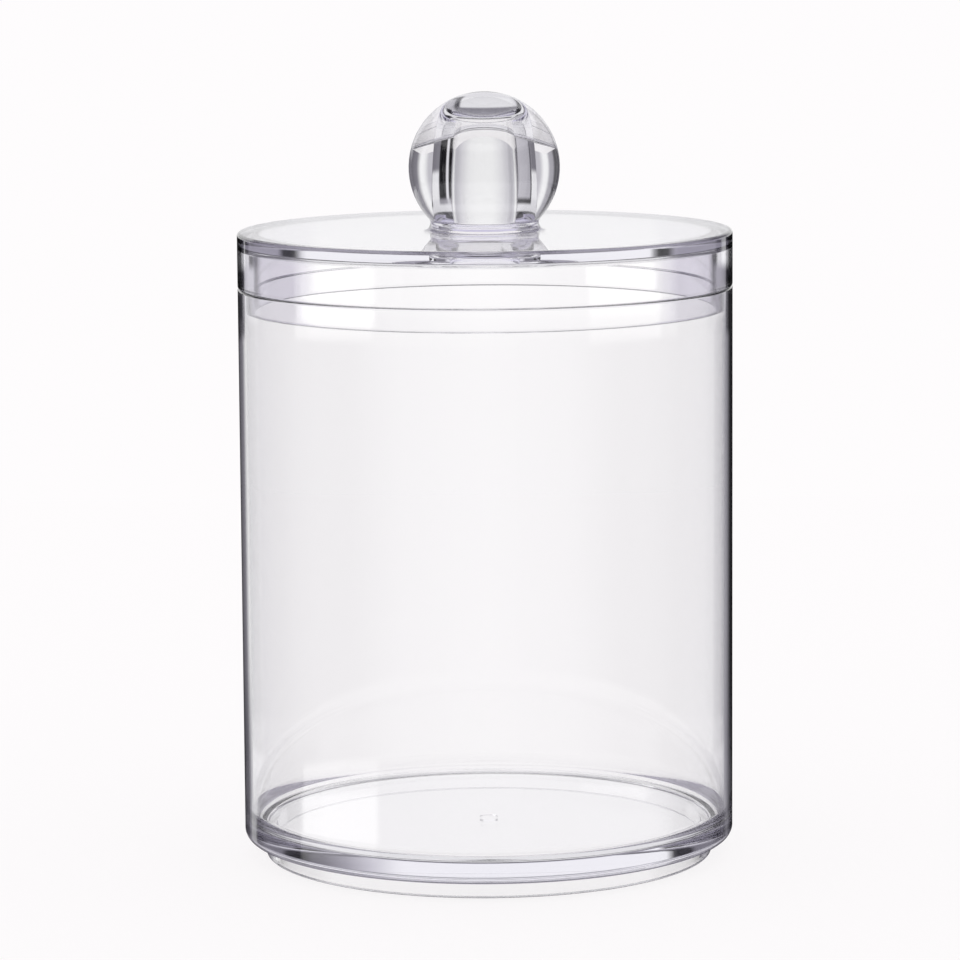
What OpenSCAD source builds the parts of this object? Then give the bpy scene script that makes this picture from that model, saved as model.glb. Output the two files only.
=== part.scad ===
// Clear round holder for cotton swabs: a jar on a foot ring and a lift-off lid with a ball knob.
// The axis is +Z, the jar stands on z = 0, and every length is in millimetres.

/* [Jar] */
// Outside diameter of the jar and of the lid's band
body_d = 80; // [60:1:110]
// Height of the jar's rim above the surface it stands on
jar_h = 93; // [60:0.2:140]
// Wall thickness at the rim
wall_rim = 1.1; // [0.9:0.05:2]
// Wall thickness at the floor, larger by the draft of the mould's core
wall_base = 1.3; // [0.9:0.05:2.4]
// Thickness of the floor
floor_t = 3; // [1.6:0.1:4]
// Radius of the outer bottom corner
bottom_r = 1.5; // [0.6:0.1:2.2]
// Radius of the inner corner between wall and floor
floor_r = 2.8; // [1:0.1:5]
// Rounding of the two edges of the rim
rim_r = 0.3; // [0.1:0.05:0.4]

/* [Foot ring] */
// Distance that the foot ring is set in from the wall's outside
foot_inset = 3.5; // [2.2:0.1:12]
// Height of the foot ring below the floor
foot_h = 2.8; // [1.5:0.1:4]
// Width of the foot ring
foot_w = 1.8; // [1.2:0.1:4]
// Rounding of the foot ring's lower edges
foot_r = 0.25; // [0.1:0.05:0.5]
// Diameter of the gate mark under the floor's centre
gate_d = 3; // [1.5:0.1:6]
// Height of the gate mark
gate_h = 0.6; // [0.2:0.1:1.2]

/* [Lid] */
// Height of the lid's band, from the rim to the lid's flat top
band_h = 9; // [6:0.1:16]
// Thickness of the lid's disc
disc_t = 2.1; // [1.5:0.05:3.5]
// Wall thickness of the plug ring, whose inner face runs on up inside the band
plug_wall = 1.3; // [0.9:0.05:2]
// Depth of the plug ring below the rim
plug_h = 3.7; // [2:0.1:10]
// Rounding of the lid's top edge
lid_edge_r = 0.6; // [0.2:0.05:0.9]
// Radius of the corner between disc and band on the inside
lid_inner_r = 0.8; // [0.3:0.1:1.5]
// Rounding of the plug ring's lower edges
plug_r = 0.4; // [0.1:0.05:0.42]

/* [Knob] */
// Diameter of the ball
ball_d = 24.4; // [20:0.2:32]
// Diameter of the neck under the ball
neck_d = 17.6; // [14:0.2:19]
// Height of the neck, from the lid's top to where its side meets the ball
neck_h = 1.6; // [1.4:0.1:8]
// Radius of the flare between neck and lid
flare_r = 1.1; // [0.3:0.1:1.2]
// Radius of the blend between neck and ball
blend_r = 0.6; // [0.2:0.1:0.8]
// Diameter of the core hole at its closed end
core_top_d = 10.2; // [6:0.2:12]
// Diameter of the core hole at the underside of the disc
core_mouth_d = 11.6; // [7:0.2:13]
// Thickness of the ball above the core hole
knob_roof = 5.2; // [3:0.1:10]
// Rounding of the core hole's closed end
core_tip_r = 0.7; // [0.3:0.1:2.4]
// Rounding of the core hole's mouth
core_mouth_r = 1.2; // [0.4:0.1:1.6]

/* [Fit] */
// Gap between the rim and the lid's step, where the lid sits
seat_gap = 0.05; // [0.02:0.01:0.2]
// Radial gap between the plug ring and the jar's mouth
plug_gap = 0.2; // [0.1:0.05:0.5]

/* [Hidden] */
$fn = 96;
clear_tint = [0.9, 0.91, 0.94, 0.35];
// Length by which a cutting shape passes the face that it cuts
over = 1;

body_r = body_d / 2;
foot_outer_r = body_r - foot_inset;
foot_inner_r = foot_outer_r - foot_w;
mouth_r = body_r - wall_rim;
floor_z = foot_h + floor_t;
// The inner wall is a cone, so its radius at a height follows from the two wall thicknesses
function inner_radius(z) =
    body_r - wall_base + (wall_base - wall_rim) * (z - floor_z) / (jar_h - floor_z);
floor_corner_z = floor_z + floor_r;
floor_corner_wall = inner_radius(floor_corner_z);

lid_seat_z = jar_h + seat_gap;
lid_top_z = jar_h + band_h;
disc_under_z = lid_top_z - disc_t;
plug_outer_r = mouth_r - plug_gap;
plug_inner_r = plug_outer_r - plug_wall;
plug_bottom_z = jar_h - plug_h;

ball_r = ball_d / 2;
neck_r = neck_d / 2;
ball_z = lid_top_z + neck_h + sqrt(ball_r * ball_r - neck_r * neck_r);
// Centre of the circle that blends neck and ball, tangent to both from outside
blend_x = neck_r + blend_r;
blend_z = ball_z - sqrt(pow(ball_r + blend_r, 2) - blend_x * blend_x);
// Point where that circle touches the ball
blend_touch = [blend_x, blend_z - ball_z] * ball_r / (ball_r + blend_r) + [0, ball_z];
core_top_z = ball_z + ball_r - knob_roof;
core_top_r = core_top_d / 2;
core_mouth_radius = core_mouth_d / 2;
// Radius of the core hole at a height on its taper
function core_radius(z) =
    core_mouth_radius + (core_top_r - core_mouth_radius) * (z - disc_under_z) / (core_top_z - disc_under_z);
core_tip_z = core_top_z - core_tip_r;
core_tip_wall = core_radius(core_tip_z);
// The mouth's rounding starts on the taper
core_mouth_wall = core_radius(disc_under_z + core_mouth_r);

// Half section between two radii and two heights
module band(r_in, r_out, z_low, z_high) {
    translate([r_in, z_low])
        square([r_out - r_in, z_high - z_low]);
}

// Sliver between a square corner at the origin and an arc, open towards +x and +z.
// It fills an inner corner, or is cut from an outer one.
module corner(r) {
    difference() {
        translate([-over, -over])
            square(r + over);
        translate([r, r])
            circle(r);
    }
}

// Corner sliver at a point, turned by the signs of the two directions in which it opens
module corner_at(x, z, side_x, side_z, r) {
    translate([x, z])
        mirror([side_x < 0 ? 1 : 0, 0])
            mirror([0, side_z < 0 ? 1 : 0])
                corner(r);
}

// Space inside the jar: a slightly tapered core with a rounded bottom corner
module jar_cavity() {
    polygon([
        [0, floor_corner_z],
        [floor_corner_wall, floor_corner_z],
        [inner_radius(jar_h + over), jar_h + over],
        [0, jar_h + over]
    ]);
    band(0, floor_corner_wall - floor_r, floor_z, floor_corner_z);
    intersection() {
        translate([floor_corner_wall - floor_r, floor_corner_z])
            circle(floor_r);
        band(0, body_r, floor_z - over, floor_corner_z);
    }
}

// Foot ring under the floor
module foot_section() {
    difference() {
        band(foot_inner_r, foot_outer_r, 0, foot_h + floor_t / 2);
        corner_at(foot_outer_r, 0, -1, 1, foot_r);
        corner_at(foot_inner_r, 0, 1, 1, foot_r);
    }
}

module jar_section() {
    difference() {
        band(0, body_r, foot_h, jar_h);
        jar_cavity();
        corner_at(body_r, foot_h, -1, 1, bottom_r);
        corner_at(body_r, jar_h, -1, -1, rim_r);
        corner_at(mouth_r, jar_h, 1, -1, rim_r);
    }
    foot_section();
    band(0, gate_d / 2, foot_h - gate_h, foot_h + floor_t / 2);
}

// Disc, band and plug ring of the lid
module lid_section() {
    difference() {
        band(0, body_r, lid_seat_z, lid_top_z);
        lid_hollow();
        corner_at(body_r, lid_top_z, -1, -1, lid_edge_r);
        corner_at(body_r, lid_seat_z, -1, 1, rim_r);
    }
    difference() {
        band(plug_inner_r, plug_outer_r, plug_bottom_z, lid_seat_z + plug_wall / 2);
        corner_at(plug_outer_r, plug_bottom_z, -1, 1, plug_r);
        corner_at(plug_inner_r, plug_bottom_z, 1, 1, plug_r);
    }
}

// Space under the disc, inside the band
module lid_hollow() {
    difference() {
        band(0, plug_inner_r, lid_seat_z - over, disc_under_z);
        corner_at(plug_inner_r, disc_under_z, -1, -1, lid_inner_r);
    }
}

// Ball, neck, and the two round transitions of the neck
module knob_section() {
    intersection() {
        translate([0, ball_z])
            circle(ball_r);
        band(0, ball_r + over, lid_top_z, ball_z + ball_r + over);
    }
    band(0, neck_r, disc_under_z, blend_z);
    difference() {
        polygon([
            [0, blend_z],
            [blend_x, blend_z],
            blend_touch,
            [0, ball_z]
        ]);
        translate([blend_x, blend_z])
            circle(blend_r);
    }
    corner_at(neck_r, lid_top_z, 1, 1, flare_r);
}

// Blind tapered hole that cores out the knob from below
module core_section() {
    polygon([
        [0, disc_under_z - over],
        [core_radius(disc_under_z - over), disc_under_z - over],
        [core_tip_wall, core_tip_z],
        [0, core_tip_z]
    ]);
    band(0, core_tip_wall - core_tip_r, core_tip_z, core_top_z);
    intersection() {
        translate([core_tip_wall - core_tip_r, core_tip_z])
            circle(core_tip_r);
        band(0, ball_r, core_tip_z, core_top_z + over);
    }
    corner_at(core_mouth_wall, disc_under_z, 1, 1, core_mouth_r);
}

module jar() {
    color(clear_tint)
        rotate_extrude()
            jar_section();
}

module lid() {
    color(clear_tint)
        rotate_extrude()
            difference() {
                union() {
                    lid_section();
                    knob_section();
                }
                core_section();
            }
}

jar();
lid();
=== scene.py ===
# %% [markdown]
# # A clear cotton swab holder
#
# The holder is two mouldings in water-clear plastic: a round jar on a foot ring, and a lid with a ball knob.
# Clear things have no colour of their own to paint. What the eye reads is how they bend the white behind
# them and mirror the studio around them, so this lesson spends its care on true sections, exact surface
# normals and a studio for the reflections.

# %% Load the frame
import math

import bpy
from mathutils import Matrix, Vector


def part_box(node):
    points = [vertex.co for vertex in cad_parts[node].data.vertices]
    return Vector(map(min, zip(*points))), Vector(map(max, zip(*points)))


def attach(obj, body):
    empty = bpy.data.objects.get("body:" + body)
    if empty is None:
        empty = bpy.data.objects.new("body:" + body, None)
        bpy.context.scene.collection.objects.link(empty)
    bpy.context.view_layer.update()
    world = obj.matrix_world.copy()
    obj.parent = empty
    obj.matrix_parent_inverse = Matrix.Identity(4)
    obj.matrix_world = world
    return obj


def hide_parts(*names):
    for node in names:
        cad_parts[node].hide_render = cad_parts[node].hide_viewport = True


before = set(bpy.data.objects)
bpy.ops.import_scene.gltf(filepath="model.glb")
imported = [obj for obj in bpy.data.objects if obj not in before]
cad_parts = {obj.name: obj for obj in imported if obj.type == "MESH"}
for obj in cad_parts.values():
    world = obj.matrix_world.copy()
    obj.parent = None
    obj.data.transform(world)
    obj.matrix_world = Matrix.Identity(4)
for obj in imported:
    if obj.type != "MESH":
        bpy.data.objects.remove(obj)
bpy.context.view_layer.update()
MM = 0.001

# %% [markdown]
# ## Sizes
#
# The outside sizes are read from the packed solids, so the dressed pieces can't drift away from them. The
# sizes that a bounding box doesn't show, such as walls and roundings, are named here in metres.

# %% Read the outside sizes and name the inner ones
jar_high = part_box("jar")[1]
lid_low, lid_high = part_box("lid")
BODY_R = jar_high[0]
RIM_Z = jar_high[2]
PLUG_BOTTOM_Z = lid_low[2]
KNOB_TOP_Z = lid_high[2]

WALL_RIM = 1.1 * MM
WALL_BASE = 1.3 * MM
FLOOR_T = 3.0 * MM
BOTTOM_R = 1.5 * MM
FLOOR_R = 2.8 * MM
RIM_R = 0.3 * MM
FOOT_INSET = 3.5 * MM
FOOT_H = 2.8 * MM
FOOT_W = 1.8 * MM
FOOT_R = 0.25 * MM
GATE_R = 1.5 * MM
GATE_H = 0.6 * MM

BAND_H = 9.0 * MM
DISC_T = 2.1 * MM
PLUG_WALL = 1.3 * MM
LID_EDGE_R = 0.6 * MM
LID_INNER_R = 0.8 * MM
PLUG_R = 0.4 * MM
SEAT_GAP = 0.05 * MM
PLUG_GAP = 0.2 * MM

BALL_R = 12.2 * MM
NECK_R = 8.8 * MM
FLARE_R = 1.1 * MM
BLEND_R = 0.6 * MM
CORE_TOP_R = 5.1 * MM
CORE_MOUTH_R = 5.8 * MM
KNOB_ROOF = 5.2 * MM
CORE_TIP_ROUND = 0.7 * MM
CORE_MOUTH_ROUND = 1.2 * MM
print(f"jar {2 * BODY_R / MM:.1f} mm across, {RIM_Z / MM:.1f} mm to the rim")
print(f"{KNOB_TOP_Z / MM:.1f} mm to the top of the knob")

# %% [markdown]
# ## Turned outlines
#
# Both mouldings are bodies of revolution, as if turned on a lathe. A screw modifier on a poly curve would do
# it, but the normals that Blender averages across a narrow rounding bend the reflections in the wide face
# next to it, which clear plastic shows at once. So an outline here is a chain of straight and round
# stretches, and each stretch carries its exact normals into the mesh.

# %% A half section made of lines and arcs
ARC_STEP = math.radians(5)
FEWEST_ARC_PIECES = 4


class Outline:
    """Half section, drawn from the axis with the material on the left of the way it runs."""

    def __init__(self, radius, height):
        self.at = (radius, height)
        self.stretches = []

    def line(self, radius, height, pieces=1):
        """Straight stretch, cut into equal pieces."""
        r0, z0 = self.at
        length = math.hypot(radius - r0, height - z0)
        normal = ((height - z0) / length, -(radius - r0) / length)
        for k in range(pieces):
            t = (k + 1) / pieces
            point = (r0 + (radius - r0) * t, z0 + (height - z0) * t)
            self.stretches.append((self.at, normal, point, normal))
            self.at = point
        return self

    def arc(self, centre_r, centre_z, radius, start_deg, end_deg):
        """Round stretch about a centre; a falling angle makes it hollow."""
        start, end = math.radians(start_deg), math.radians(end_deg)
        pieces = max(FEWEST_ARC_PIECES, math.ceil(abs(end - start) / ARC_STEP))
        sign = 1 if end > start else -1
        for k in range(pieces):
            a = start + (end - start) * k / pieces
            b = start + (end - start) * (k + 1) / pieces
            point = (centre_r + radius * math.cos(b), centre_z + radius * math.sin(b))
            normal_a = (sign * math.cos(a), sign * math.sin(a))
            normal_b = (sign * math.cos(b), sign * math.sin(b))
            self.stretches.append((self.at, normal_a, point, normal_b))
            self.at = point
        return self


print(f"arcs are cut about every {math.degrees(ARC_STEP):.0f} degrees")

# %% Turn a half section into a mesh with exact normals
TURNS = 360
AXIS_TOUCH = 1e-7


def turn(name, outline):
    """Mesh object of a half section turned about Z."""
    angles = [2 * math.pi * k / TURNS for k in range(TURNS)]
    spokes = [(math.cos(angle), math.sin(angle)) for angle in angles]
    points = [outline.stretches[0][0]] + [s[2] for s in outline.stretches]
    verts, rings = [], []
    for r, z in points:
        if r < AXIS_TOUCH:
            rings.append([len(verts)] * TURNS)
            verts.append((0, 0, z))
        else:
            rings.append(range(len(verts), len(verts) + TURNS))
            verts.extend((r * c, r * s, z) for c, s in spokes)
    faces, normals = [], []
    for k, (_, low_n, _, high_n) in enumerate(outline.stretches):
        low, high = rings[k], rings[k + 1]
        for j in range(TURNS):
            n = (j + 1) % TURNS
            corners = [(low[j], low_n, j), (low[n], low_n, n), (high[n], high_n, n), (high[j], high_n, j)]
            if low[j] == low[n]:
                corners.pop(1)
            elif high[j] == high[n]:
                corners.pop(2)
            faces.append([c[0] for c in corners])
            normals.extend((nr * spokes[m][0], nr * spokes[m][1], nz) for _, (nr, nz), m in corners)
    mesh = bpy.data.meshes.new(name)
    mesh.from_pydata(verts, [], faces)
    mesh.shade_smooth()
    mesh.normals_split_custom_set(normals)
    piece = bpy.data.objects.new(name, mesh)
    bpy.context.collection.objects.link(piece)
    print(f"{name}: {len(outline.stretches)} stretches, {len(faces)} faces")
    return piece


# %% [markdown]
# ## The jar
#
# The jar is moulded round a core with a little draft, so its wall grows from rim to floor. It stands on a
# foot ring set in from the wall, and the plastic went in through a gate under the middle of the floor, where
# a small round mark is left. Wide faces are cut into several pieces, so that no face is a long splinter.

# %% Turn the jar
WALL_PIECES = 12
FLOOR_PIECES = 4
floor_z = FOOT_H + FLOOR_T
foot_outer = BODY_R - FOOT_INSET
foot_inner = foot_outer - FOOT_W
mouth_r = BODY_R - WALL_RIM
floor_corner_z = floor_z + FLOOR_R
draft = (WALL_BASE - WALL_RIM) / (RIM_Z - floor_z)
floor_corner_r = BODY_R - WALL_BASE + draft * FLOOR_R

jar_outline = (
    Outline(0, FOOT_H - GATE_H)
    .line(GATE_R, FOOT_H - GATE_H)
    .line(GATE_R, FOOT_H)
    .line(foot_inner, FOOT_H, FLOOR_PIECES)
    .line(foot_inner, FOOT_R)
    .arc(foot_inner + FOOT_R, FOOT_R, FOOT_R, 180, 270)
    .line(foot_outer - FOOT_R, 0)
    .arc(foot_outer - FOOT_R, FOOT_R, FOOT_R, 270, 360)
    .line(foot_outer, FOOT_H)
    .line(BODY_R - BOTTOM_R, FOOT_H)
    .arc(BODY_R - BOTTOM_R, FOOT_H + BOTTOM_R, BOTTOM_R, 270, 360)
    .line(BODY_R, RIM_Z - RIM_R, WALL_PIECES)
    .arc(BODY_R - RIM_R, RIM_Z - RIM_R, RIM_R, 0, 90)
    .line(mouth_r + RIM_R, RIM_Z)
    .arc(mouth_r + RIM_R, RIM_Z - RIM_R, RIM_R, 90, 180)
    .line(floor_corner_r, floor_corner_z, WALL_PIECES)
    .arc(floor_corner_r - FLOOR_R, floor_corner_z, FLOOR_R, 0, -90)
    .line(0, floor_z, FLOOR_PIECES)
)
jar = turn("clear_jar", jar_outline)
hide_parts("jar")
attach(jar, "jar")

# %% [markdown]
# ## The lid
#
# Disc, band, plug ring and knob are one moulding. The ball is too thick to mould solid, so a tapered pin
# cores it out from below. That blind hole acts as a lens: rays that meet it steeply are mirrored to the
# sides, which draws the dark and bright bars in the ball.

# %% Turn the lid
CORE_PIECES = 6
DISC_PIECES = 4
PLUG_PIECES = 3
BAND_PIECES = 2
seat_z = RIM_Z + SEAT_GAP
lid_top_z = RIM_Z + BAND_H
disc_under_z = lid_top_z - DISC_T
plug_outer = mouth_r - PLUG_GAP
plug_inner = plug_outer - PLUG_WALL
ball_z = KNOB_TOP_Z - BALL_R
core_top_z = KNOB_TOP_Z - KNOB_ROOF
core_tip_z = core_top_z - CORE_TIP_ROUND
core_taper = (CORE_TOP_R - CORE_MOUTH_R) / (core_top_z - disc_under_z)
core_tip_r = CORE_MOUTH_R + core_taper * (core_tip_z - disc_under_z)
core_foot_r = CORE_MOUTH_R + core_taper * CORE_MOUTH_ROUND
blend_r = NECK_R + BLEND_R
blend_z = ball_z - math.sqrt((BALL_R + BLEND_R) ** 2 - blend_r ** 2)
blend_deg = math.degrees(math.atan2(blend_z - ball_z, blend_r))

lid_outline = (
    Outline(0, core_top_z)
    .line(core_tip_r - CORE_TIP_ROUND, core_top_z)
    .arc(core_tip_r - CORE_TIP_ROUND, core_tip_z, CORE_TIP_ROUND, 90, 0)
    .line(core_foot_r, disc_under_z + CORE_MOUTH_ROUND, CORE_PIECES)
    .arc(core_foot_r + CORE_MOUTH_ROUND, disc_under_z + CORE_MOUTH_ROUND, CORE_MOUTH_ROUND, 180, 270)
    .line(plug_inner - LID_INNER_R, disc_under_z, DISC_PIECES)
    .arc(plug_inner - LID_INNER_R, disc_under_z - LID_INNER_R, LID_INNER_R, 90, 0)
    .line(plug_inner, PLUG_BOTTOM_Z + PLUG_R, PLUG_PIECES)
    .arc(plug_inner + PLUG_R, PLUG_BOTTOM_Z + PLUG_R, PLUG_R, 180, 270)
    .line(plug_outer - PLUG_R, PLUG_BOTTOM_Z)
    .arc(plug_outer - PLUG_R, PLUG_BOTTOM_Z + PLUG_R, PLUG_R, 270, 360)
    .line(plug_outer, seat_z)
    .line(BODY_R - RIM_R, seat_z)
    .arc(BODY_R - RIM_R, seat_z + RIM_R, RIM_R, 270, 360)
    .line(BODY_R, lid_top_z - LID_EDGE_R, BAND_PIECES)
    .arc(BODY_R - LID_EDGE_R, lid_top_z - LID_EDGE_R, LID_EDGE_R, 0, 90)
    .line(NECK_R + FLARE_R, lid_top_z, DISC_PIECES)
    .arc(NECK_R + FLARE_R, lid_top_z + FLARE_R, FLARE_R, 270, 180)
    .line(NECK_R, blend_z)
    .arc(blend_r, blend_z, BLEND_R, 180, 180 + blend_deg)
    .arc(0, ball_z, BALL_R, blend_deg, 90)
)
lid = turn("clear_lid", lid_outline)
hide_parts("lid")
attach(lid, "lid")

# %% [markdown]
# ## Wiring nodes
#
# The plastic, the studio and the floor's paint are node trees. Each link could be written out by hand, but
# all of these trees need the same few nodes again and again, so one class keeps short calls for them.

# %% Short calls for the nodes of a tree
class Wiring:
    """Short calls for the nodes of one tree; an input is a linked output or a plain value."""

    def __init__(self, tree):
        self.tree = tree

    def node(self, kind):
        """New node, named without the words that all shader nodes start with."""
        return self.tree.nodes.new("ShaderNode" + kind)

    def feed(self, socket, value):
        """Link a socket to an output, or set it to a plain value."""
        if isinstance(value, bpy.types.NodeSocket):
            self.tree.links.new(value, socket)
        else:
            socket.default_value = value

    def compute(self, operation, *values):
        """Result of a Math node."""
        node = self.node("Math")
        node.operation = operation
        for socket, value in zip(node.inputs, values):
            self.feed(socket, value)
        return node.outputs["Value"]

    def product(self, first, *others):
        """Product of shares, which is 1 where each of them is 1."""
        for other in others:
            first = self.compute("MULTIPLY", first, other)
        return first

    def opposite(self, share):
        """Share that is 1 where another is 0."""
        return self.compute("SUBTRACT", 1, share)

    def fade(self, value, start, end, curve="SMOOTHSTEP"):
        """Share that goes from 0 to 1 while a value goes from start to end."""
        node = self.node("MapRange")
        node.interpolation_type = curve
        self.feed(node.inputs["From Min"], start)
        self.feed(node.inputs["From Max"], end)
        self.feed(node.inputs["Value"], value)
        return node.outputs["Result"]

    def ramp(self, share, stops):
        """Colour from a ramp with pairs of position and colour as its stops."""
        node = self.node("ValToRGB")
        elements = node.color_ramp.elements
        elements.remove(elements[0])
        for k, (position, colour) in enumerate(stops):
            spot = elements[0] if k == 0 else elements.new(position)
            spot.position = position
            spot.color = (*colour, 1)
        self.feed(node.inputs["Fac"], share)
        return node.outputs["Color"]

    def mix(self, share, low, high):
        """Colour between two colours."""
        node = self.node("Mix")
        node.data_type = "RGBA"
        for name, value in (("Factor", share), ("A", low), ("B", high)):
            self.feed(node.inputs[name], value)
        return node.outputs["Result"]

    def mix_shaders(self, share, low, high):
        """Shader between two shaders."""
        node = self.node("MixShader")
        for socket, value in zip(node.inputs, (share, low, high)):
            self.feed(socket, value)
        return node.outputs["Shader"]


print("short calls:", [name for name in vars(Wiring) if not name.startswith("_")])

# %% [markdown]
# ## The plastic
#
# Polystyrene is clear and bends light more than glass does. Its surface is as smooth as the mould, with a
# faint waviness from the flow and the shrinkage, and a trace of violet toner shows where light runs a long
# way inside it. The waviness and the slight change of polish serve both mouldings, so they are one node
# group.

# %% Node group for the moulded skin
WAVE_DETAIL = 1.0


def moulded_skin_group():
    """Group that gives the height of the flow waves and the polish of a moulded face."""
    group = bpy.data.node_groups.new("moulded_skin", "ShaderNodeTree")
    for name in ("Wave Scale", "Polish", "Haze"):
        group.interface.new_socket(name, in_out="INPUT", socket_type="NodeSocketFloat")
    for name in ("Wave Height", "Roughness"):
        group.interface.new_socket(name, in_out="OUTPUT", socket_type="NodeSocketFloat")
    given = group.nodes.new("NodeGroupInput").outputs
    result = group.nodes.new("NodeGroupOutput").inputs
    skin = Wiring(group)
    waves = skin.node("TexNoise")
    skin.feed(waves.inputs["Vector"], skin.node("TexCoord").outputs["Object"])
    skin.feed(waves.inputs["Scale"], given["Wave Scale"])
    skin.feed(waves.inputs["Detail"], WAVE_DETAIL)
    skin.feed(result["Wave Height"], waves.outputs["Fac"])
    polish = skin.node("MapRange")
    skin.feed(polish.inputs["Value"], waves.outputs["Fac"])
    skin.feed(polish.inputs["To Min"], given["Polish"])
    skin.feed(polish.inputs["To Max"], given["Haze"])
    skin.feed(result["Roughness"], polish.outputs["Result"])
    print("node group:", group.name)
    return group


moulded_skin = moulded_skin_group()

# %% Clear plastic
PLASTIC_IOR = 1.56
TONER_COLOUR = (0.80, 0.78, 0.90, 1)
TONER_DENSITY = 7.0
POLISH, HAZE = 0.002, 0.01


def clear_plastic(name, wave_scale, wave_depth, polish=POLISH, haze=HAZE):
    """Clear moulded plastic with its own waviness and its own best and worst roughness."""
    material = bpy.data.materials.new(name)
    material.use_nodes = True
    nodes = material.node_tree.nodes
    wiring = Wiring(material.node_tree)
    shader = nodes["Principled BSDF"].inputs
    shader["Base Color"].default_value = (1, 1, 1, 1)
    shader["Transmission Weight"].default_value = 1
    shader["IOR"].default_value = PLASTIC_IOR
    skin = wiring.node("Group")
    skin.node_tree = moulded_skin
    for socket, value in (("Wave Scale", wave_scale), ("Polish", polish), ("Haze", haze)):
        skin.inputs[socket].default_value = value
    # A polish that is the same all over is set on the shader itself
    wiring.feed(shader["Roughness"], polish if polish == haze else skin.outputs["Roughness"])
    bump = wiring.node("Bump")
    bump.inputs["Strength"].default_value = 1
    bump.inputs["Distance"].default_value = wave_depth
    wiring.feed(bump.inputs["Height"], skin.outputs["Wave Height"])
    wiring.feed(shader["Normal"], bump.outputs["Normal"])
    toner = wiring.node("VolumeAbsorption")
    toner.inputs["Color"].default_value = TONER_COLOUR
    toner.inputs["Density"].default_value = TONER_DENSITY
    wiring.feed(nodes["Material Output"].inputs["Volume"], toner.outputs["Volume"])
    print("material:", name)
    return material


# %% Give jar and lid their plastic
JAR_WAVE_SCALE, JAR_WAVE_DEPTH = 60, 0.002 * MM
LID_WAVE_SCALE, LID_WAVE_DEPTH = 80, 0.001 * MM
jar.data.materials.append(clear_plastic("jar_plastic", JAR_WAVE_SCALE, JAR_WAVE_DEPTH))
lid_plastic = clear_plastic("lid_plastic", LID_WAVE_SCALE, LID_WAVE_DEPTH)
lid.data.materials.append(lid_plastic)

# %% [markdown]
# ## Painted shade at the ends of the lid's band
#
# The band is the thickest wall. The toner dims the long paths towards its ends a little, and the rest of
# their
# darkness is painted shade: the upright faces of the lid tint the light that enters them lavender and then
# almost black, the more so the flatter it comes in. A denser toner would darken them too, but it would also
# tint the disc and the knob.

# %% Paint shade on upright faces by the angle of view
SIDE_FULL, SIDE_ENDS = 0.45, 0.80
EVEN_BLEND = 0.5
CLEAR = (1, 1, 1)
SHADE_LAVENDER = (0.78, 0.76, 0.84)
# Painted shade: lavender and then near black on the band's upright faces when seen flat
PAINTED_EDGE_SHADE = (0.02, 0.02, 0.022)
SIDE_SHADE_TINTS = [(0.30, CLEAR), (0.37, SHADE_LAVENDER), (0.74, SHADE_LAVENDER), (0.83, PAINTED_EDGE_SHADE)]


def paint_side_shade(material, tints):
    """Paint shade on upright faces by tinting the light that enters them; tints pair the facing weight with
    the colour there.
    """
    wiring = Wiring(material.node_tree)
    weight = wiring.node("LayerWeight")
    weight.inputs["Blend"].default_value = EVEN_BLEND
    tint = wiring.ramp(weight.outputs["Facing"], tints)
    parts = wiring.node("SeparateXYZ")
    wiring.feed(parts.inputs["Vector"], wiring.node("NewGeometry").outputs["Normal"])
    tilt = wiring.compute("ABSOLUTE", parts.outputs["Z"])
    upright = wiring.fade(tilt, SIDE_ENDS, SIDE_FULL)
    shader = material.node_tree.nodes["Principled BSDF"]
    # Painted shade: upright faces are darkened the flatter they are seen
    wiring.feed(shader.inputs["Base Color"], wiring.mix(upright, (*CLEAR, 1), tint))
    print("tinted:", material.name)


paint_side_shade(lid_plastic, SIDE_SHADE_TINTS)

# %% [markdown]
# ## The knob's own polish
#
# The ball is a lens, and the least haze would blur the bars in it. Its part of the mould is polished to a
# mirror, so it gets a plastic with no roughness at all, on the ball, the neck and the hole that cores it out.

# %% Give the knob its plastic
knob_plastic = clear_plastic("knob_plastic", LID_WAVE_SCALE, LID_WAVE_DEPTH, polish=0, haze=0)
lid.data.materials.append(knob_plastic)
knob_slot = lid.data.materials.find(knob_plastic.name)
knob_faces = 0
for face in lid.data.polygons:
    x, y, z = face.center
    if z > lid_top_z + FLARE_R or math.hypot(x, y) < core_foot_r:
        face.material_index = knob_slot
        knob_faces += 1
print("faces with the knob's plastic:", knob_faces)

# %% [markdown]
# ## Studio
#
# A clear jar on white is drawn by what stands round it. The photographer keeps the backdrop white and puts
# black and grey cards at the sides, whose mirrored edges become the dark outline of the wall, the marks in
# the lid's rim and the bars in the knob. Real cards as meshes would do, but they would stand in the way of
# other views. So the cards are painted on the world by direction: the bearing round the jar, in layers by
# height above the horizon.

# %% World, and the direction of a ray in it
scene = bpy.context.scene
scene.view_settings.view_transform = "Standard"
world = bpy.data.worlds.new("studio")
scene.world = world
world.use_nodes = True
world.node_tree.nodes.clear()
sky = Wiring(world.node_tree)
direction = sky.node("SeparateXYZ")
sky.feed(direction.inputs["Vector"], sky.node("TexCoord").outputs["Generated"])
dx, dy, dz = direction.outputs
bearing = sky.compute("ARCTAN2", dx, dy)
way_round = sky.compute("ADD", sky.compute("DIVIDE", bearing, 2 * math.pi), 0.5)
print("world:", world.name)

# %% Rings of cards, and layers of rings
SHADE_VIOLET = 0.12
GREEN_LOSS = 0.4
LAYER_BLEND_DEG = 0.08


def grey(level):
    """Grey that is the more violet the darker it is, as the photograph's shadows are."""
    violet = SHADE_VIOLET * max(0, 1 - level)
    return (level, level * (1 - violet * GREEN_LOSS), level * (1 + violet))


def ring(stops):
    """Cards all round, as pairs of bearing and brightness: 0 is behind the jar, 90 right, -90 left of it."""
    return sky.ramp(way_round, [(degrees / 360 + 0.5, grey(level)) for degrees, level in stops])


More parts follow.
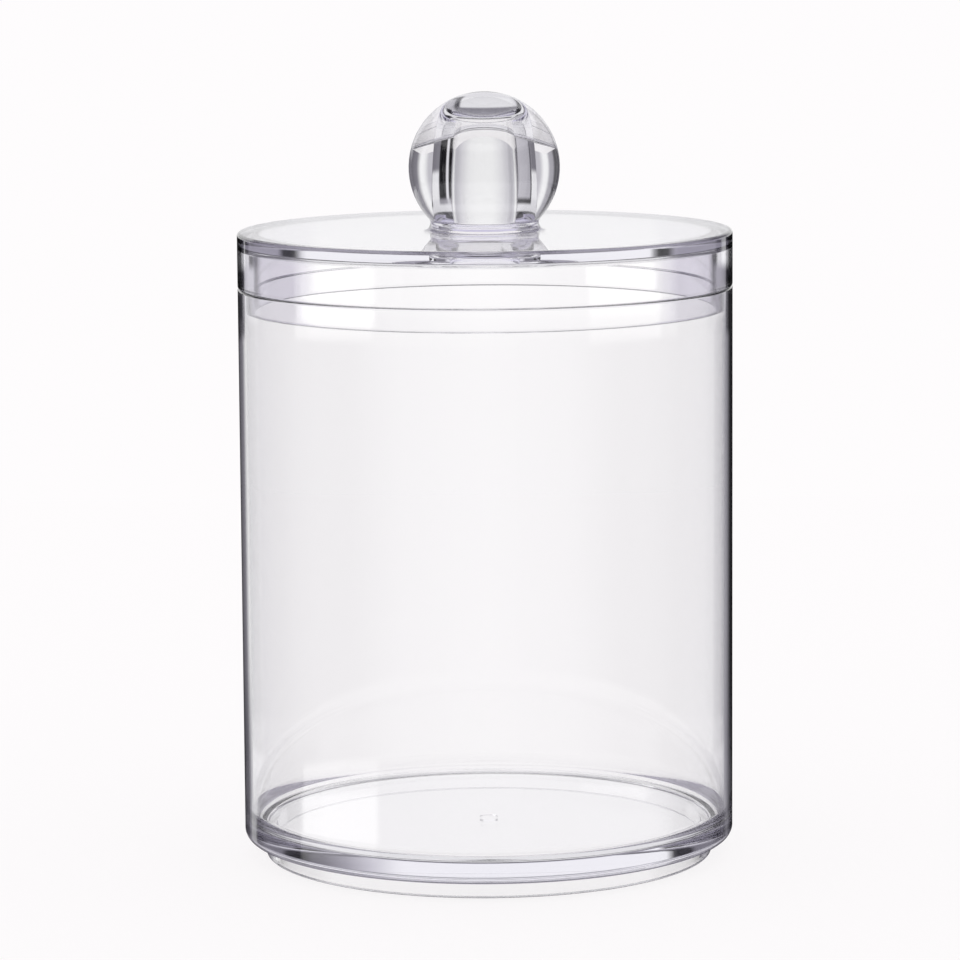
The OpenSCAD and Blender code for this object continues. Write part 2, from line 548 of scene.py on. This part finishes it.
def above(degrees, blend=LAYER_BLEND_DEG, curve="SMOOTHSTEP"):
    """Share that goes from 0 to 1 across a height above the horizon."""
    start, end = [math.sin(math.radians(edge)) for edge in (degrees - blend, degrees + blend)]
    return sky.fade(dz, start, end, curve)


def between(low, high, blend=LAYER_BLEND_DEG):
    """Share that is 1 between two heights and 0 outside them."""
    return sky.compute("SUBTRACT", above(low, blend), above(high, blend))


def layered(layers, blend=LAYER_BLEND_DEG):
    """Rings stacked from layers, each given by its lower edge and its stops."""
    result = ring(layers[0][1])
    for lower_edge, stops in layers[1:]:
        result = sky.mix(above(lower_edge, blend), result, ring(stops))
    return result


print("middle grey:", [round(part, 3) for part in grey(0.5)])

# %% [markdown]
# ## Which part of the studio a ray meets
#
# A photographer moves many small cards until each line of the jar is as strong as it should be. One set of
# cards on the world can't do that, because a direction has one colour there. But Light Path counts how often
# a ray was mirrored or bent, so a ray can meet the part of the studio that suits its path. Each of the next
# steps holds one of these rules.

# %% Tell rays apart by their path
path = sky.node("LightPath").outputs


def at_least(times, kind):
    """Share that is 1 for a ray which was turned this often in one of the ways that Light Path counts."""
    return sky.compute("GREATER_THAN", path[kind + " Depth"], times - 0.5)


was_mirrored = at_least(1, "Glossy")
crossed_wall = at_least(3, "Transmission")
left_knob = sky.product(path["Is Singular Ray"], sky.opposite(path["Is Camera Ray"]))
print("light path tells:", list(path.keys()))

# %% [markdown]
# ### Never mirrored
#
# A ray that was only bent sees the white backdrop, or the dark ceiling if the plastic turned it upwards,
# unless it came up through the clear floor. A ray that leaves the knob, known by its perfect polish, sees
# cards of its own at the sides.

# %% Backdrop and ceiling
BACKDROP = (0.990, 0.974, 0.982, 1)
CEILING = (0.12, 0.115, 0.13, 1)
CEILING_DEG, CEILING_BLEND_DEG = 14, 4
bent_above_floor = sky.product(path["Is Transmission Ray"], sky.opposite(at_least(1, "Transparent")))
bent_up = sky.product(bent_above_floor, above(CEILING_DEG, CEILING_BLEND_DEG, "LINEAR"))
behind_jar = sky.mix(bent_up, BACKDROP, CEILING)
print("ceiling from", CEILING_DEG - CEILING_BLEND_DEG, "degrees up")

# %% Cards that are seen straight through the knob
KNOB_SIDES = [(-180, 0.95), (-125, 0.95), (-108, 0.30), (-95, 0.02), (-64, 0.02), (-59, 0.40), (-52, 0.45),
              (-48, 1.0), (-43, 1.0), (-38, 0.62), (-32, 0.55), (-24, 0.68), (-12, 0.95), (-5, 1.0), (6, 1.0),
              (14, 0.86), (22, 0.68), (29, 0.55), (38, 0.62), (43, 1.0), (49, 1.0), (56, 0.28), (80, 0.24),
              (90, 0.08), (108, 0.30), (125, 0.95), (180, 0.95)]
KNOB_SIDES_DEG = (-20, 45)
KNOB_BLEND_DEG = 2.5
behind_knob = sky.mix(between(*KNOB_SIDES_DEG, KNOB_BLEND_DEG), BACKDROP, ring(KNOB_SIDES))
behind = sky.mix(left_knob, behind_jar, behind_knob)
print("stops behind the knob:", len(KNOB_SIDES))

# %% [markdown]
# ### Mirrored in the jar or the lid
#
# A mirrored ray sees the cards. Rays that come from the base, the body, the band or the rim leave at heights
# of their own, so each of these forms has its layer of cards. A tall soft box stands on the left.

# %% Cards round the jar, as pairs of bearing and brightness
LOW_STOPS = [(-180, 0.78), (-36, 0.78), (-30, 0.12), (30, 0.12), (36, 0.78), (180, 0.78)]
BASE_STOPS = [(-180, 0.74), (-90, 0.74), (-80, 0.20), (-49, 0.20), (-46.5, 0.02), (-39.5, 0.02), (-36.5, 1.0),
              (15, 1.0), (21, 0.65), (27, 0.36), (33, 0.18), (37, 0.12), (39, 0.01), (47, 0.01), (49, 0.18),
              (80, 0.18), (90, 0.74), (180, 0.74)]
BODY_STOPS = [(-180, 0.77), (-140, 0.62), (-113, 0.32), (-95, 0.38), (-70, 0.32), (-56, 0.55), (-39, 0.80),
              (-34, 0.80), (-31, 0.95), (-27.5, 1.0), (-25, 0.40), (-23, 0.28), (-20, 0.21), (-17, 0.17),
              (-13, 0.12), (-9, 0.09), (-6, 0.05), (-3, 0.01), (20, 0.01), (27, 0.36), (33, 0.42), (56, 0.54),
              (70, 0.50), (95, 0.41), (113, 0.41), (140, 0.67), (180, 0.77)]
RIM_STOPS = [(-180, 1.0), (-82, 1.0), (-79, 0.40), (-39, 0.40), (-37, 0.01), (-33, 0.01), (-31, 1.0),
             (36, 1.0), (39, 0.01), (44, 0.01), (46, 0.40), (79, 0.40), (82, 1.0), (180, 1.0)]
LEVEL_STOPS = [(-180, 0.60), (-90, 0.60), (-80, 0.40), (-45, 0.40), (-40, 1.0), (40, 1.0), (45, 0.40),
               (80, 0.40), (90, 0.60), (180, 0.60)]
HIGH_STOPS = [(-180, 0.74), (-75, 0.74), (-65, 0.40), (-50, 0.15), (50, 0.15), (65, 0.40), (75, 0.74),
              (180, 0.74)]


def plain(level):
    """Stops for one brightness all round."""
    return [(-180, level), (180, level)]


def part_of(stops, first, last):
    """The stops between two bearings."""
    return [(degrees, level) for degrees, level in stops if first <= degrees <= last]


BAND_STOPS = (part_of(RIM_STOPS, -180, -79) + [(-30, 0.75), (-25, 0.55), (-21, 0.08), (-10, 0.03)]
              + part_of(BODY_STOPS, -6, 33) + part_of(RIM_STOPS, 79, 180))
print("stops in the band's layer:", len(BAND_STOPS))

# %% Soft box and layers round the jar
SOFT_BOX = [(-127, 0.6), (-126, 1.7), (-82, 1.7), (-81, 0.3)]
RIM_LIMIT = 0.93


def with_soft_box(stops):
    """Stops with the tall soft box on the left put in their place."""
    first, last = SOFT_BOX[0][0], SOFT_BOX[-1][0]
    return sorted([stop for stop in stops if not first < stop[0] < last] + SOFT_BOX)


STUDIO_LAYERS = [
    (-90, plain(0.78)),
    (-40, LOW_STOPS),
    (-16, BASE_STOPS),
    (-12.8, with_soft_box(BASE_STOPS)),
    (-12.2, with_soft_box(BODY_STOPS)),
    (-11.95, BODY_STOPS),
    (-6.25, with_soft_box(BAND_STOPS)),
    (-5.35, RIM_STOPS),
    (-4.85, LEVEL_STOPS),
    (4.6, [(degrees, min(level, RIM_LIMIT)) for degrees, level in RIM_STOPS]),
    (6.3, BASE_STOPS),
    (20, HIGH_STOPS),
    (36, plain(0.75)),
]
round_jar = layered(STUDIO_LAYERS)
print("layers round the jar:", len(STUDIO_LAYERS))

# %% [markdown]
# ### Exceptions behind the jar
#
# The cards behind the jar would draw some lines that the photograph lacks, and miss others. So a few mirrored
# rays that leave straight ahead see something else:
#
# - One that crossed the far side of the jar sees a white wall, which keeps the lines there faint.
# - One mirrored on the outside of the lid's edge sees black.
# - One mirrored once, low at the jar's edge, sees dark cards that carry the wall's outline down to the base.
# - One mirrored three times or more inside the wall's edge sees black.
#
# Any other ray that was mirrored five times or more, as in the thick corner of the base, sees a plain grey,
# so that no grain shows there.

# %% White wall beyond the far side
AHEAD_DEG = 30
FAR_WALL = (0.97, 0.96, 0.98, 1)
WALL_DEG = (-11.6, -6.2)
ahead = sky.compute("LESS_THAN", sky.compute("ABSOLUTE", bearing), math.radians(AHEAD_DEG))
off_wall = sky.opposite(between(*WALL_DEG))
came_far = sky.compute("MAXIMUM", at_least(5, "Transmission"), sky.product(crossed_wall, off_wall))
round_jar = sky.mix(sky.product(came_far, ahead), round_jar, FAR_WALL)
print("ahead means within", AHEAD_DEG, "degrees")

# %% Black for the edge of the lid
LID_EDGE = (0.01, 0.01, 0.011, 1)
LID_EDGE_DEG = (-6.2, -3.5)
never_inside = sky.opposite(at_least(1, "Transmission"))
round_jar = sky.mix(sky.product(never_inside, between(*LID_EDGE_DEG), ahead), round_jar, LID_EDGE)
print("the lid's edge mirrors heights of", LID_EDGE_DEG, "degrees")

# %% Dark cards for the low edge of the jar
EDGE_STOPS = [(-30, 0.60), (-27, 0.40), (-25, 0.14), (-20, 0.09), (-14, 0.06), (-9, 0.04), (0, 0.01),
              (18, 0.01), (22, 0.10), (27, 0.30), (30, 0.40)]
EDGE_DEG, EDGE_BLEND_DEG = -11, 1
mirrored_once = sky.opposite(at_least(2, "Glossy"))
high_or_far = sky.compute("MAXIMUM", crossed_wall, above(EDGE_DEG, EDGE_BLEND_DEG))
off_edge = sky.product(mirrored_once, ahead, sky.opposite(high_or_far))
round_jar = sky.mix(off_edge, round_jar, ring(EDGE_STOPS))
print("the jar's edge has cards of its own below", EDGE_DEG, "degrees")

# %% Plain tones for rays that run round inside the plastic
LONG_WAY = (0.36, 0.345, 0.39, 1)
LONG_WAY_FAR = (0.56, 0.54, 0.59, 1)
GUIDED = (0.04, 0.038, 0.045, 1)
GUIDED_DEG = (-12.45, -6.2)
long_way = sky.mix(crossed_wall, LONG_WAY, LONG_WAY_FAR)
round_jar = sky.mix(at_least(5, "Glossy"), round_jar, long_way)
guided = sky.product(at_least(3, "Glossy"), between(*GUIDED_DEG), ahead, sky.opposite(crossed_wall))
round_jar = sky.mix(guided, round_jar, GUIDED)
print("the wall's edge guides light to heights of", GUIDED_DEG, "degrees")

# %% [markdown]
# ### Mirrored in the knob
#
# The core hole mirrors rays to the sides of the ball. Black cards with narrow bright gaps stand there, for
# the bars, and a bright layer above them gives the ball its light shoulders.

# %% Cards round the knob
KNOB_LEFT = [(-180, 0.03), (-95, 0.03), (-90, 0.005), (-74, 0.005), (-71, 0.75), (-65, 0.75), (-61, 0.002),
             (-34, 0.002)]
KNOB_RIGHT = [(26, 0.06), (29, 0.44), (78, 0.52), (82, 0.04), (90, 0.04), (96, 0.03), (180, 0.03)]
KNOB_SHOULDERS = [(-180, 0.03), (-95, 0.03), (-70, 0.60), (-62, 0.30), (-33, 0.30), (-27, 0.75), (18, 0.75),
                  (22, 0.03), (180, 0.03)]
KNOB_LAYERS = [
    (-90, plain(0.25)),
    (-26, KNOB_LEFT + [(-31, 0.22), (22, 0.22)] + KNOB_RIGHT),
    (0, KNOB_LEFT + [(-31, 0.65), (-25, 0.85), (20, 0.85), (22, 0.06)] + KNOB_RIGHT),
    (22, KNOB_SHOULDERS),
    (28, plain(0.75)),
    (40, plain(0.03)),
]
mirrored = sky.mix(left_knob, round_jar, layered(KNOB_LAYERS, KNOB_BLEND_DEG))
print("layers round the knob:", len(KNOB_LAYERS))

# %% Show the studio
background = sky.node("Background")
sky.feed(background.inputs["Color"], sky.mix(was_mirrored, behind, mirrored))
sky.feed(sky.node("OutputWorld").inputs["Surface"], background.outputs["Background"])
print("nodes in the world:", len(world.node_tree.nodes))

# %% [markdown]
# ## Floor
#
# The floor glows at the backdrop's white and takes a small share of real light, so it has no edge against
# the backdrop and still keeps a faint shadow. Mirrored rays pass through it to the cards below the horizon,
# and from below it is clear, so that the foot ring can be looked at.

# %% Paint that glows from above and is clear to mirrored rays
SHADOW_SHARE = 0.12


def glowing_paint(name, colour):
    """Paint that glows in its own colour and takes a share of real light, seen from above only."""
    material = bpy.data.materials.new(name)
    material.use_nodes = True
    material.node_tree.nodes.clear()
    wiring = Wiring(material.node_tree)
    glow = wiring.node("Emission")
    glow.inputs["Color"].default_value = colour
    paint = wiring.node("BsdfDiffuse")
    paint.inputs["Color"].default_value = colour
    lit = wiring.mix_shaders(SHADOW_SHARE, glow.outputs["Emission"], paint.outputs["BSDF"])
    mirrored_before = wiring.compute("GREATER_THAN", wiring.node("LightPath").outputs["Glossy Depth"], 0.5)
    from_below = wiring.node("NewGeometry").outputs["Backfacing"]
    passes = wiring.compute("MAXIMUM", mirrored_before, from_below)
    gap = wiring.node("BsdfTransparent").outputs["BSDF"]
    output = wiring.node("OutputMaterial")
    wiring.feed(output.inputs["Surface"], wiring.mix_shaders(passes, lit, gap))
    print("material:", name)
    return material


# %% Floor
FLOOR_HALF = 0.4
FLOOR_DROP = 0.02 * MM
floor_corners = [(x * FLOOR_HALF, y * FLOOR_HALF, 0) for x, y in ((-1, -1), (1, -1), (1, 1), (-1, 1))]
floor_mesh = bpy.data.meshes.new("floor")
floor_mesh.from_pydata(floor_corners, [], [(0, 1, 2, 3)])
floor_mesh.materials.append(glowing_paint("floor_paint", BACKDROP))
floor = bpy.data.objects.new("floor", floor_mesh)
bpy.context.collection.objects.link(floor)
floor.location.z = -FLOOR_DROP
print(f"floor: {2 * FLOOR_HALF:.1f} m each way")

# %% [markdown]
# ## Light paths
#
# A ray that crosses the lid and both walls of the jar is bent about a dozen times, and in the corners it is
# mirrored more often still. Blender's own limits would turn such rays black, so they are raised. The world
# isn't sampled as a lamp, because smooth clear faces have no use for such samples: each ray that they bend
# or mirror finds the cards by itself.

# %% Let rays run long enough for nested clear walls
scene.cycles.max_bounces = 32
scene.cycles.glossy_bounces = 24
scene.cycles.transmission_bounces = 32
scene.cycles.transparent_max_bounces = 16
world.cycles.sampling_method = "NONE"
print("longest path:", scene.cycles.max_bounces, "turns")

# %% [markdown]
# ## Camera
#
# The photograph was taken from a little above the lid with a long lens. How round the ellipses of rim and
# base look gives the pitch and the distance, and they could be matched by eye, but a small error shows in
# every line of a clear jar. So the values here come from a fit to those ellipses.

# %% Camera
CAMERA_DISTANCE = 0.7351
CAMERA_HEIGHT = 0.16496
CAMERA_ASIDE = -0.0003
CAMERA_PITCH_DEG = 8.041
CAMERA_ROLL_DEG = 0.413
CAMERA_NEAREST = 0.01
FOCAL_PX = 4560
IMAGE_PX = 960
SENSOR = 36.0
lens = bpy.data.cameras.new("camera")
lens.sensor_width = SENSOR
lens.lens = FOCAL_PX / IMAGE_PX * SENSOR
lens.clip_start = CAMERA_NEAREST
camera = bpy.data.objects.new("camera", lens)
bpy.context.collection.objects.link(camera)
camera.location = (CAMERA_ASIDE, -CAMERA_DISTANCE, CAMERA_HEIGHT)
camera.rotation_euler = (math.radians(90 - CAMERA_PITCH_DEG), math.radians(CAMERA_ROLL_DEG), 0)
scene.camera = camera
print("lens:", round(lens.lens, 1), "mm")

# %% [markdown]
